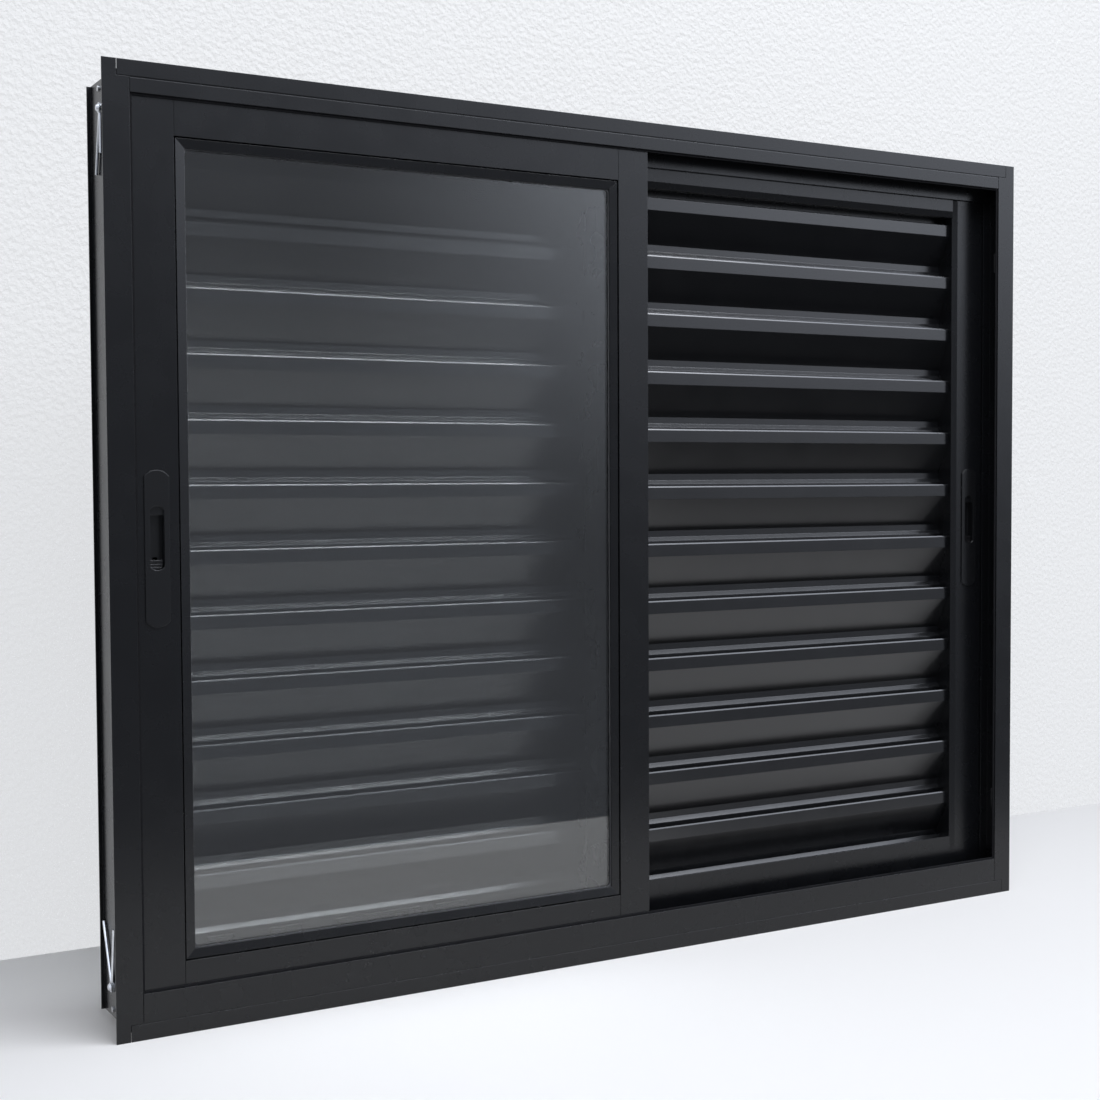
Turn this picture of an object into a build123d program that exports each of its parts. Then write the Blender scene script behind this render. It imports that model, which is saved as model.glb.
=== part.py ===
from build123d import *
import os
from math import cos, radians, sin

# Sliding louvred window with three leaves in a three-track aluminium frame.
# Track 1 (room side) carries a glazed sash, track 2 a sliding louvred sash,
# track 3 (outside) a fixed louvred sash. Lengths are in millimetres.
# The model is drawn from the frame's lower left front corner, with X to the
# right, Y from the room towards the outside and Z up. Every piece is moved
# at export so that the origin is the bottom centre of the frame.

# Frame
WIDTH = 1250.0
HEIGHT = 1000.0
WALL = 1.6
JAMB_FACE = 28.0
HEAD_FACE = 32.0
SILL_FACE = 48.0
HEAD_STRIP = 16.0
SILL_STRIP = 17.0
GROOVE_WIDTH = 1.5
GROOVE_DEPTH = 1.0
WEB_INSET = 14.0
REAR_INSET = 10.0
GLASS_TRACK = 26.4
LOUVRE_TRACK = 31.6
HEAD_FIN = 31.2
SILL_FIN = 18.4
RAIL_HEIGHT = 11.9
RAIL_WIDTH = 2.0
GUIDE_BLADE = 14.4
JOINT_GAP = 0.7
PORT_RADIUS = 2.6
PORT_BORE = 1.6
PORT_DROP = 2.5
DRAIN_LENGTH = 30.0
DRAIN_HEIGHT = 5.0
DRAIN_COUNT = 3

# Sashes
SIDE_CLEARANCE = 1.6
END_CLEARANCE = 2.4
MEETING_OVERLAP = 56.0
SASH_JOINT = 0.5
SASH_LIFT = 5.4
TOP_CLEARANCE = 6.4
SASH_WALL = 1.4
ROLLER_CHANNEL = 24.0
GUIDE_CHANNEL = 12.0

# Glazed sash
GLASS_LOCK_STILE = 56.0
GLASS_MEETING_STILE = 41.0
GLASS_TOP_RAIL = 49.0
GLASS_BOTTOM_RAIL = 54.0
REBATE_LIP = 9.0
REBATE_DEPTH = 12.0
GLASS_THICKNESS = 4.0
GLASS_EDGE_GAP = 2.0
REAR_TAPE = 2.4
FRONT_GASKET = 1.6
GASKET_SHOW = 0.8
GASKET_CORNER = 5.0
BEAD_WIDTH = 11.5
BEAD_SETBACK = 0.8
BEAD_SLOPE = 1.6
BEAD_GROOVE = 1.6
BLOCK_LENGTH = 40.0

# Louvred sashes
LOUVRE_LOCK_STILE = 63.0
LOUVRE_MEETING_STILE = 49.0
LOUVRE_TOP_RAIL = 48.7
LOUVRE_BOTTOM_RAIL = 59.0
RAIL_UPSTAND = 16.0
UPSTAND_THICKNESS = 3.0
BAND_WIDTH = 8.0
BAND_DEPTH = 2.5
SLAT_COUNT = 12
SLAT_THICKNESS = 1.4
SLAT_SETBACK = 8.2
SLAT_DEPTH = 20.2
LIP_HEIGHT = 16.0
LIP_CHAMFER = 0.8
FIRST_SLAT_DROP = 8.8
LAST_SLAT_RISE = 61.7
FIXED_SLAT_RISE = 5.5
REAR_LIP_HEIGHT = 8.0
REAR_LIP_RISE = 7.3
SHOULDER = 4.5
LEG_OVERLAP = 3.8

# Rollers, guides and seals
WHEEL_RADIUS = 7.0
WHEEL_FLANGE = 1.4
WHEEL_WIDTH = 6.0
WHEEL_GROOVE = 2.8
RUNNING_GAP = 0.3
AXLE_RADIUS = 2.0
AXLE_FIT = 0.05
AXLE_LENGTH = 13.0
CARRIER_LENGTH = 44.0
CARRIER_WIDTH = 14.0
CARRIER_FOOT = 3.0
CARRIER_INSET = 95.0
GUIDE_LENGTH = 30.0
GUIDE_INSET = 75.0
BRUSH_WIDTH = 5.0
MEETING_BRUSH_INSET = 20.0
SEAL_SHOW = 2.5
SEAL_WIDTH = 6.0
BUFFER_HEIGHT = 25.0
BUFFER_WIDTH = 8.0
BUFFER_INSET = 130.0
PACKER_LENGTH = 40.0
PACKER_INSET = 120.0

# Flush pulls and latches, measured from each lock stile's outer edge
PULL_CENTRE = 32.5
PULL_HEIGHT = 506.5
PLATE_WIDTH = 26.0
PLATE_LENGTH = 162.0
PLATE_THICKNESS = 1.4
PLATE_ARC = 6.5
CUP_WIDTH = 15.0
CUP_LENGTH = 66.0
CUP_OFFSET = 11.0
CUP_ARC = 4.0
CUP_DEPTH = 8.8
CUP_WALL = 1.2
CUP_FIT = 0.3
CUP_LEDGE = 9.5
LEDGE_DEPTH = 1.5
SLIDER_HEIGHT = 10.0
SLIDER_DEPTH = 6.0
SLIDER_FIT = 0.4
STEM_WIDTH = 4.0
STEM_HEIGHT = 6.0
LATCH_TRAVEL = 6.0
HOOK_SETBACK = 13.0
HOOK_THICKNESS = 3.0
HOOK_INSET = 2.2
FINGER_WIDTH = 2.5
FINGER_HEIGHT = 6.0
FOOT_HEIGHT = 5.5
KEEPER_THICKNESS = 1.2
KEEPER_LENGTH = 56.0
KEEPER_WIDTH = 16.0
LUG_THICKNESS = 2.5
LUG_TIP = 2.0
LATCH_GAP = 0.5

# Wall anchors and screws
ANCHOR_RADIUS = 1.6
ANCHOR_EYE = 5.6
ANCHOR_GAP = 0.4
TOP_ANCHOR_DROP = 40.0
TOP_ANCHOR = (52.0, HEIGHT - TOP_ANCHOR_DROP)
TOP_ANCHOR_LEGS = ((68.0, 194.0), (46.0, 180.0))
BOTTOM_ANCHOR = (59.0, 43.0)
BOTTOM_ANCHOR_LEGS = ((70.0, -24.0), (64.0, 9.0))
RIVET_RADIUS = 2.5
RIVET_HEAD = 4.6
RIVET_HEAD_HEIGHT = 2.2
SCREW_RADIUS = 1.5
SCREW_HEAD_RADIUS = 3.0
SCREW_HEAD_HEIGHT = 1.6
SCREW_LENGTH = 16.0
KEEPER_SCREW_HEAD = 0.7
RIVET_FIT = 0.1
RIVET_TAPER = 40.0

# How many flat sides stand for the round of the smallest parts
HOLE_SIDES = 10
SHANK_SIDES = 8
HEAD_SIDES = 14
WIRE_SIDES = 8
AXLE_SIDES = 20
WHEEL_SIDES = 30

# Places that follow from the sizes above
GLASS_TRACK_Y = WALL
LOUVRE_TRACK_Y = GLASS_TRACK_Y + GLASS_TRACK + WALL
FIXED_TRACK_Y = LOUVRE_TRACK_Y + LOUVRE_TRACK + WALL
REAR_WALL_Y = FIXED_TRACK_Y + LOUVRE_TRACK
DEPTH = REAR_WALL_Y + WALL
FIN_PLACES = (LOUVRE_TRACK_Y - WALL, FIXED_TRACK_Y - WALL)
TRACK_CENTRES = (
    GLASS_TRACK_Y + GLASS_TRACK / 2,
    LOUVRE_TRACK_Y + LOUVRE_TRACK / 2,
    FIXED_TRACK_Y + LOUVRE_TRACK / 2,
)
WEB_INNER = WEB_INSET + WALL
SILL_FLOOR = WEB_INNER
HEAD_CEILING = HEIGHT - WEB_INNER
FIN_BOTTOM = SILL_FLOOR + SILL_FIN
FIN_TOP = HEAD_CEILING - HEAD_FIN
NOTCH = WEB_INSET + WALL / 2
GLASS_Y = GLASS_TRACK_Y + SIDE_CLEARANCE
LOUVRE_Y = LOUVRE_TRACK_Y + SIDE_CLEARANCE
FIXED_Y = FIXED_TRACK_Y + SIDE_CLEARANCE
GLASS_SASH_DEPTH = GLASS_TRACK - 2 * SIDE_CLEARANCE
LOUVRE_SASH_DEPTH = LOUVRE_TRACK - 2 * SIDE_CLEARANCE
LEFT_EDGE = WEB_INNER + END_CLEARANCE
RIGHT_EDGE = WIDTH - LEFT_EDGE
SASH_WIDTH = (RIGHT_EDGE - LEFT_EDGE + MEETING_OVERLAP) / 2
SASH_BOTTOM = SILL_FLOOR + SASH_LIFT
SASH_TOP = HEAD_CEILING - TOP_CLEARANCE
GLASS_LEFT = LEFT_EDGE + GLASS_LOCK_STILE
GLASS_RIGHT = LEFT_EDGE + SASH_WIDTH - GLASS_MEETING_STILE
GLASS_BOTTOM = SASH_BOTTOM + GLASS_BOTTOM_RAIL
GLASS_TOP = SASH_TOP - GLASS_TOP_RAIL
LOUVRE_BOTTOM = SASH_BOTTOM + LOUVRE_BOTTOM_RAIL
LOUVRE_TOP = SASH_TOP - LOUVRE_TOP_RAIL
FIRST_SLAT = LOUVRE_TOP - FIRST_SLAT_DROP
LAST_SLAT = LOUVRE_BOTTOM + LAST_SLAT_RISE
SLAT_PITCH = (FIRST_SLAT - LAST_SLAT) / (SLAT_COUNT - 1)
WHEEL_Z = SILL_FLOOR + RAIL_HEIGHT + RUNNING_GAP + WHEEL_RADIUS
CUP_Z = PULL_HEIGHT + CUP_OFFSET
SLIDER_Z = CUP_Z - CUP_LENGTH / 2 + SLIDER_FIT
FOOT_Z = SLIDER_Z - SLIDER_FIT
FINGER_Z = FOOT_Z + FOOT_HEIGHT + FINGER_HEIGHT
LUG_TIP_Z = FINGER_Z + LATCH_GAP
LUG_Z = FINGER_Z + LATCH_TRAVEL + LATCH_GAP


def box(x0, x1, y0, y1, z0, z1):
    """A block between two corners, given in either order."""
    size = (abs(x1 - x0), abs(y1 - y0), abs(z1 - z0))
    return Pos((x0 + x1) / 2, (y0 + y1) / 2, (z0 + z1) / 2) * Box(*size)


def prism_x(x0, x1, y, z, radius, sides):
    """A small bar along X with flat sides."""
    half = abs(x1 - x0) / 2
    face = RegularPolygon(radius, sides)
    return Pos((x0 + x1) / 2, y, z) * Rot(0, 90, 0) * extrude(face, half, both=True)


def prism_y(x, y0, y1, z, radius, sides):
    """A small bar along Y with flat sides."""
    half = abs(y1 - y0) / 2
    face = RegularPolygon(radius, sides)
    return Pos(x, (y0 + y1) / 2, z) * Rot(90, 0, 0) * extrude(face, half, both=True)


def along_x(points, x0, x1):
    """A profile given as (y, z) points, carried from x0 to x1."""
    outline = Polyline(*[(x0, y, z) for y, z in points], close=True)
    return extrude(make_face(outline), amount=x1 - x0, dir=(1, 0, 0))


def along_y(face, y0, y1):
    """A face in the XZ plane, carried from y0 to y1."""
    return Pos(0, y0, 0) * extrude(face, amount=y1 - y0, dir=(0, 1, 0))


def along_z(points, z0, z1):
    """A profile given as (x, y) points, carried from z0 to z1."""
    outline = Polyline(*[(x, y, z0) for x, y in points], close=True)
    return extrude(make_face(outline), amount=z1 - z0, dir=(0, 0, 1))


def mirrored(shape):
    """The same piece on the other side of the frame."""
    return mirror(shape, about=Plane.YZ.offset(WIDTH / 2))


def save(name, *solids):
    """Move the pieces to the frame's own origin and write them as one node."""
    move = Pos(-WIDTH / 2, -DEPTH / 2, 0)
    parts = [move * solid for shape in solids for solid in shape.solids()]
    shape = parts[0] if len(parts) == 1 else Compound(children=parts)
    export_step(shape, f"parts/{name}.step")


# Frame

def screw_ports(z, x0, x1):
    """Round screw ports that run along the foot of each fin."""
    return [prism_x(x0, x1, y + WALL / 2, z, PORT_RADIUS, HOLE_SIDES) for y in FIN_PLACES]


def port_bores(z, x0, x1):
    """The holes of those ports."""
    return [prism_x(x0, x1, y + WALL / 2, z, PORT_BORE, HOLE_SIDES) for y in FIN_PLACES]


def front_strip(z_outer, z_step, z_inner):
    """The face of the head or sill: an outer strip that runs over the jambs
    and an inner strip between them, with a shadow groove at the step."""
    outer = box(NOTCH + JOINT_GAP, WIDTH - NOTCH - JOINT_GAP, 0, WALL, z_outer, z_step)
    inner = box(JAMB_FACE + JOINT_GAP, WIDTH - JAMB_FACE - JOINT_GAP, 0, WALL, z_step, z_inner)
    toward = 1 if z_inner > z_step else -1
    groove = box(0, WIDTH, 0, GROOVE_DEPTH, z_step, z_step + toward * GROOVE_WIDTH)
    return outer + inner - groove


def head():
    x0, x1 = WEB_INNER, WIDTH - WEB_INNER
    body = front_strip(HEIGHT, HEIGHT - HEAD_STRIP, HEIGHT - HEAD_FACE)
    body += box(x0, x1, WALL, REAR_WALL_Y, HEAD_CEILING, HEAD_CEILING + WALL)
    body += box(x0, x1, REAR_WALL_Y, DEPTH, FIN_TOP, HEIGHT - REAR_INSET)
    for y in FIN_PLACES:
        body += box(x0, x1, y, y + WALL, FIN_TOP, HEAD_CEILING)
    for y in TRACK_CENTRES:
        half = RAIL_WIDTH / 2
        body += box(x0, x1, y - half, y + half, HEAD_CEILING - GUIDE_BLADE, HEAD_CEILING)
    z_port = HEAD_CEILING - PORT_DROP
    for port in screw_ports(z_port, x0, x1):
        body += port
    for bore in port_bores(z_port, x0, x1):
        body -= bore
    return body


def sill():
    x0, x1 = WEB_INNER, WIDTH - WEB_INNER
    body = front_strip(0, SILL_STRIP, SILL_FACE)
    body += box(x0, x1, WALL, REAR_WALL_Y, SILL_FLOOR - WALL, SILL_FLOOR)
    body += box(x0, x1, REAR_WALL_Y, DEPTH, REAR_INSET, FIN_BOTTOM)
    for y in FIN_PLACES:
        body += box(x0, x1, y, y + WALL, SILL_FLOOR, FIN_BOTTOM)
    for y in TRACK_CENTRES:
        half = RAIL_WIDTH / 2
        body += box(x0, x1, y - half, y + half, SILL_FLOOR, SILL_FLOOR + RAIL_HEIGHT)
    z_port = SILL_FLOOR + PORT_DROP
    for port in screw_ports(z_port, x0, x1):
        body += port
    for bore in port_bores(z_port, x0, x1):
        body -= bore
    for drain in drain_slots():
        body -= drain
    return body


def drain_slots():
    """Slots through the outer wall that let rain water out of the tracks."""
    step = WIDTH / DRAIN_COUNT
    slots = []
    for number in range(DRAIN_COUNT):
        x = step * (number + 0.5)
        slots.append(box(x - DRAIN_LENGTH / 2, x + DRAIN_LENGTH / 2, REAR_WALL_Y - 1, DEPTH + 1,
                         SILL_FLOOR, SILL_FLOOR + DRAIN_HEIGHT))
    return slots


def jamb():
    """The left jamb. Its face is notched at both ends for the head and sill."""
    body = box(0, JAMB_FACE, 0, WALL, 0, HEIGHT)
    body -= box(NOTCH, JAMB_FACE, 0, WALL, HEIGHT - HEAD_STRIP - JOINT_GAP, HEIGHT)
    body -= box(NOTCH, JAMB_FACE, 0, WALL, 0, SILL_STRIP + JOINT_GAP)
    body += box(WEB_INSET, WEB_INNER, WALL, DEPTH, REAR_INSET, HEIGHT - REAR_INSET)
    body += box(REAR_INSET, WEB_INNER, REAR_WALL_Y, DEPTH, REAR_INSET, HEIGHT - REAR_INSET)
    body += box(WEB_INNER, JAMB_FACE, REAR_WALL_Y, DEPTH, FIN_BOTTOM, FIN_TOP)
    for y in FIN_PLACES:
        body += box(WEB_INNER, JAMB_FACE, y, y + WALL, FIN_BOTTOM, FIN_TOP)
    for x, y, z in corner_screw_places():
        body -= web_hole(y, z, PORT_BORE, HOLE_SIDES)
    for y, z in (TOP_ANCHOR, BOTTOM_ANCHOR):
        body -= web_hole(y, z, RIVET_RADIUS + RIVET_FIT, HEAD_SIDES)
    return body


def web_hole(y, z, radius, sides):
    return prism_x(WEB_INSET - 1, WEB_INNER + 1, y, z, radius, sides)


def jamb_with_keeper_holes(keeper_y):
    body = jamb()
    for z in keeper_screw_heights():
        body -= web_hole(keeper_y, z, PORT_BORE, HOLE_SIDES)
    return body


def corner_screw_places():
    heights = (SILL_FLOOR + PORT_DROP, HEAD_CEILING - PORT_DROP)
    return [(WEB_INSET, y + WALL / 2, z) for y in FIN_PLACES for z in heights]


def screw(x, y, z, length, way, head_height=SCREW_HEAD_HEIGHT):
    """A pan-head screw along X whose head seats on the plane x."""
    head = prism_x(x, x - way * head_height, y, z, SCREW_HEAD_RADIUS, HEAD_SIDES)
    return head + prism_x(x, x + way * length, y, z, SCREW_RADIUS, SHANK_SIDES)


def corner_screws():
    left = [screw(x, y, z, SCREW_LENGTH, 1) for x, y, z in corner_screw_places()]
    return left + [mirrored(piece) for piece in left]


def frame_seals():
    """Brush strips behind the face of the frame, on the room side."""
    y0, y1 = WALL, GLASS_Y - RUNNING_GAP
    side = JAMB_FACE + SEAL_SHOW
    top = HEIGHT - HEAD_FACE - SEAL_SHOW
    bottom = SILL_FACE + SEAL_SHOW
    left = box(side - SEAL_WIDTH, side, y0, y1, bottom - SEAL_WIDTH, top + SEAL_WIDTH)
    upper = box(side, WIDTH - side, y0, y1, top, top + SEAL_WIDTH)
    lower = box(side, WIDTH - side, y0, y1, bottom - SEAL_WIDTH, bottom)
    return [left, mirrored(left), upper, lower]


def buffers():
    """Rubber stops on the jamb webs where the sliding sashes come to rest."""
    x0, x1 = WEB_INNER, LEFT_EDGE - RUNNING_GAP
    pieces = []
    for y_sash, depth in ((GLASS_Y, GLASS_SASH_DEPTH), (LOUVRE_Y, LOUVRE_SASH_DEPTH)):
        y = y_sash + depth / 2
        for z in (BUFFER_INSET, HEIGHT - BUFFER_INSET):
            block = box(x0, x1, y - BUFFER_WIDTH / 2, y + BUFFER_WIDTH / 2,
                        z - BUFFER_HEIGHT / 2, z + BUFFER_HEIGHT / 2)
            pieces += [block, mirrored(block)]
    return pieces


# Wall anchors

def anchor(place, legs):
    """A wire anchor with two splayed legs that turns on its rivet. Each leg
    has a length and an angle from upright, positive towards the room."""
    y, z = place
    x0 = WEB_INSET - ANCHOR_GAP - 2 * ANCHOR_RADIUS
    x1 = WEB_INSET - ANCHOR_GAP
    x = (x0 + x1) / 2
    body = prism_x(x0, x1, y, z, ANCHOR_EYE, HEAD_SIDES)
    for length, angle in legs:
        wire = extrude(RegularPolygon(ANCHOR_RADIUS, WIRE_SIDES), length)
        body += Pos(x, y, z) * Rot(angle, 0, 0) * wire
    return body - prism_x(x0 - 1, x1 + 1, y, z, RIVET_RADIUS + RIVET_FIT, HEAD_SIDES)


def rivet(place):
    """A low-headed rivet through the eye of the anchor and the jamb web."""
    y, z = place
    x_head = WEB_INSET - 2 * ANCHOR_GAP - 2 * ANCHOR_RADIUS
    face = Pos(x_head, y, z) * Rot(0, -90, 0) * RegularPolygon(RIVET_HEAD, HEAD_SIDES)
    head = extrude(face, RIVET_HEAD_HEIGHT, taper=RIVET_TAPER)
    return head + prism_x(x_head, WEB_INNER, y, z, RIVET_RADIUS, HEAD_SIDES)


# Sash profiles. A section is drawn with u inwards from the sash's outer edge
# and d backwards from its front plane.

def stile(loops, x_outer, side, y_front, y_track):
    """A stile, notched at both ends for the sill's rail and the head's blade."""
    placed = [[(x_outer + side * u, y_front + d) for u, d in loop] for loop in loops]
    body = along_z(placed[0], SASH_BOTTOM, SASH_TOP)
    for hole in placed[1:]:
        body -= along_z(hole, SASH_BOTTOM, SASH_TOP)
    half = RAIL_WIDTH / 2 + RUNNING_GAP
    low = SILL_FLOOR + RAIL_HEIGHT + RUNNING_GAP
    high = HEAD_CEILING - GUIDE_BLADE - RUNNING_GAP
    body -= box(0, WIDTH, y_track - half, y_track + half, 0, low)
    return body - box(0, WIDTH, y_track - half, y_track + half, high, HEIGHT)


def rail(loops, z_outer, side, y_front, x0, x1):
    placed = [[(y_front + d, z_outer + side * u) for u, d in loop] for loop in loops]
    body = along_x(placed[0], x0, x1)
    for hole in placed[1:]:
        body -= along_x(hole, x0, x1)
    return body


def rectangle(u0, u1, d0, d1):
    return [(u0, d0), (u1, d0), (u1, d1), (u0, d1)]


def channel_rail_loops(width, depth, channel):
    """A hollow rail with an open channel along its outer edge."""
    t = SASH_WALL
    outer = [(0, 0), (width, 0), (width, depth), (0, depth), (0, depth - t),
             (channel, depth - t), (channel, t), (0, t)]
    return [outer, rectangle(channel + t, width - t, t, depth - t)]


def stile_screw(x_joint, way, y, z):
    """A screw whose head seats inside a stile and whose point is in a rail."""
    return screw(x_joint - way * SASH_WALL, y, z, SCREW_LENGTH, way)


def stile_ports(body, x_joint, way, y, heights):
    """Clearance holes for the rail screws in the inner wall of a stile."""
    for z in heights:
        body -= prism_x(x_joint - way * (SASH_WALL + 1), x_joint + way, y, z, PORT_BORE, HOLE_SIDES)
    return body


def rail_port(body, x0, x1, y, z):
    """A round screw port that runs along one wall of a rail."""
    body += prism_x(x0, x1, y, z, PORT_RADIUS, HOLE_SIDES)
    return body - prism_x(x0, x1, y, z, PORT_BORE, HOLE_SIDES)


def glass_sash():
    """The glazed sash in track 1."""
    y, depth, t = GLASS_Y, GLASS_SASH_DEPTH, SASH_WALL
    lip_front = y + REBATE_DEPTH
    x0, x1 = LEFT_EDGE, LEFT_EDGE + SASH_WIDTH
    z_top_port = SASH_TOP - GUIDE_CHANNEL - PORT_RADIUS
    z_bottom_port = SASH_BOTTOM + ROLLER_CHANNEL + PORT_RADIUS
    y_port = y + depth - t - SCREW_HEAD_RADIUS - RUNNING_GAP
    ports = (z_top_port, z_bottom_port)

    def tube(width):
        return [rectangle(0, width, 0, depth), rectangle(t, width - t, t, depth - t)]

    lock = stile(tube(GLASS_LOCK_STILE), x0, 1, y, TRACK_CENTRES[0])
    lock += box(GLASS_LEFT, GLASS_LEFT + REBATE_LIP, lip_front, lip_front + t,
                GLASS_BOTTOM, GLASS_TOP)
    lock = stile_ports(lock, GLASS_LEFT, 1, y_port, ports)
    lock = latch_cutouts(lock, x0, 1, y)
    meeting = stile(tube(GLASS_MEETING_STILE), x1, -1, y, TRACK_CENTRES[0])
    meeting += box(GLASS_RIGHT - REBATE_LIP, GLASS_RIGHT, lip_front, lip_front + t,
                   GLASS_BOTTOM, GLASS_TOP)
    meeting = stile_ports(meeting, GLASS_RIGHT, -1, y_port, ports)

    lip_left, lip_right = GLASS_LEFT + REBATE_LIP, GLASS_RIGHT - REBATE_LIP
    rail_left, rail_right = GLASS_LEFT + SASH_JOINT, GLASS_RIGHT - SASH_JOINT
    top = rail(channel_rail_loops(GLASS_TOP_RAIL, depth, GUIDE_CHANNEL),
               SASH_TOP, -1, y, rail_left, rail_right)
    top += box(lip_left, lip_right, lip_front, lip_front + t, GLASS_TOP - REBATE_LIP, GLASS_TOP)
    bottom = rail(channel_rail_loops(GLASS_BOTTOM_RAIL, depth, ROLLER_CHANNEL),
                  SASH_BOTTOM, 1, y, rail_left, rail_right)
    bottom += box(lip_left, lip_right, lip_front, lip_front + t,
                  GLASS_BOTTOM, GLASS_BOTTOM + REBATE_LIP)
    save("glass_lock_stile", lock)
    save("glass_meeting_stile", meeting)
    save("glass_top_rail", rail_port(top, rail_left, rail_right, y_port, z_top_port))
    save("glass_bottom_rail", rail_port(bottom, rail_left, rail_right, y_port, z_bottom_port))
    screws = [stile_screw(GLASS_LEFT, 1, y_port, z) for z in ports]
    screws += [stile_screw(GLASS_RIGHT, -1, y_port, z) for z in ports]
    save("glass_sash_screws", *screws)


def glass_stack():
    """Depths of the rebate: front gasket, pane and rear tape."""
    tape_back = GLASS_Y + REBATE_DEPTH
    pane_back = tape_back - REAR_TAPE
    pane_front = pane_back - GLASS_THICKNESS
    return tape_back, pane_back, pane_front, pane_front - FRONT_GASKET


def glazing():
    tape_back, pane_back, pane_front, bead_back = glass_stack()
    gap = GLASS_EDGE_GAP
    pane = box(GLASS_LEFT + gap, GLASS_RIGHT - gap, pane_front, pane_back,
               GLASS_BOTTOM + gap, GLASS_TOP - gap)
    save("glass_pane", pane)
    block_gap = 60.0
    blocks = []
    for x in (GLASS_LEFT + block_gap, GLASS_RIGHT - block_gap - BLOCK_LENGTH):
        blocks.append(box(x, x + BLOCK_LENGTH, pane_front, pane_back,
                          GLASS_BOTTOM, GLASS_BOTTOM + gap))
    save("setting_blocks", *blocks)
    front = gasket_ring(gap, BEAD_WIDTH + GASKET_SHOW, bead_back, pane_front)
    rear = gasket_ring(gap, REBATE_LIP, pane_back, tape_back)
    save("glass_gasket", front, rear)
    for name, bead in beads(bead_back):
        save(name, bead)


def gasket_ring(outer, inner, y0, y1):
    """A rubber ring between two distances in from the sash opening."""
    width, height = GLASS_RIGHT - GLASS_LEFT, GLASS_TOP - GLASS_BOTTOM
    ring = Rectangle(width - 2 * outer, height - 2 * outer)
    ring -= RectangleRounded(width - 2 * inner, height - 2 * inner, GASKET_CORNER)
    centre = ((GLASS_LEFT + GLASS_RIGHT) / 2, (GLASS_BOTTOM + GLASS_TOP) / 2)
    solid = extrude(Plane.XZ * ring, amount=y1 - y0)
    return Pos(centre[0], y1, centre[1]) * solid


def bead_section(y_back):
    """A snap-in bead: a thin angle with a sloping front, open at the back."""
    t, w, g = SASH_WALL, BEAD_WIDTH, BEAD_GROOVE
    y0 = GLASS_Y + BEAD_SETBACK
    y1 = y0 + BEAD_SLOPE
    return [(g, y0), (w, y1), (w, y_back), (w - t, y_back), (w - t, y1 + t),
            (g + t, y0 + t), (g + t, y_back), (g, y_back)]


def beads(y_back):
    """Four beads round the pane, mitred at the corners."""
    left, right, low, high = GLASS_LEFT, GLASS_RIGHT, GLASS_BOTTOM, GLASS_TOP
    section = bead_section(y_back)
    w = BEAD_WIDTH
    upper = along_x([(y, high - u) for u, y in section], left, right)
    lower = along_x([(y, low + u) for u, y in section], left, right)
    near = along_z([(left + u, y) for u, y in section], low, high)
    far = along_z([(right - u, y) for u, y in section], low, high)
    corners = [(left, low), (right, low), (right, high), (left, high)]
    inner = [(left + w, low + w), (right - w, low + w), (right - w, high - w), (left + w, high - w)]

    def mitre(first, second):
        outline = [corners[first], corners[second], inner[second], inner[first]]
        face = make_face(Polyline(*[(x, 0, z) for x, z in outline], close=True))
        return along_y(face, 0, DEPTH)

    return [("bead_bottom", lower & mitre(0, 1)), ("bead_right", far & mitre(1, 2)),
            ("bead_top", upper & mitre(2, 3)), ("bead_left", near & mitre(3, 0))]


# Louvred sashes

def louvre_stile_loops(width):
    """A hollow stile with a bevelled band along its inner edge."""
    t, depth = SASH_WALL, LOUVRE_SASH_DEPTH
    outer = [(0, 0), (width - BAND_WIDTH, 0), (width, BAND_DEPTH), (width, depth), (0, depth)]
    hollow = [(t, t), (width - BAND_WIDTH - t / 2, t), (width - t, BAND_DEPTH + t),
              (width - t, depth - t), (t, depth - t)]
    return [outer, hollow]


def louvre_top_loops():
    """The top rail: guide channel, hollow, bevelled band and a rear leg that
    hangs behind the first slat."""
    t, depth, w, c = SASH_WALL, LOUVRE_SASH_DEPTH, LOUVRE_TOP_RAIL, GUIDE_CHANNEL
    leg = leg_setback()
    leg_end = w + FIRST_SLAT_DROP + LEG_OVERLAP
    outer = [(0, 0), (w - BAND_WIDTH, 0), (w, BAND_DEPTH), (w, leg), (leg_end, leg),
             (leg_end, leg + t), (w, leg + t), (w, depth), (0, depth), (0, depth - t),
             (c, depth - t), (c, t), (0, t)]
    hollow = [(c + t, t), (w - BAND_WIDTH - t / 2, t), (w - t, BAND_DEPTH + t),
              (w - t, depth - t), (c + t, depth - t)]
    return [outer, hollow]


def louvre_bottom_loops():
    """The bottom rail: roller channel, hollow and a front upstand."""
    t, depth, w, c = SASH_WALL, LOUVRE_SASH_DEPTH, LOUVRE_BOTTOM_RAIL, ROLLER_CHANNEL
    shelf = w - RAIL_UPSTAND
    outer = [(0, 0), (w, 0), (w, UPSTAND_THICKNESS), (shelf, UPSTAND_THICKNESS), (shelf, depth),
             (0, depth), (0, depth - t), (c, depth - t), (c, t), (0, t)]
    return [outer, rectangle(c + t, shelf - t, t, depth - t)]


def leg_setback():
    return SLAT_SETBACK + SLAT_DEPTH - SLAT_THICKNESS - SHOULDER


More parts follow.
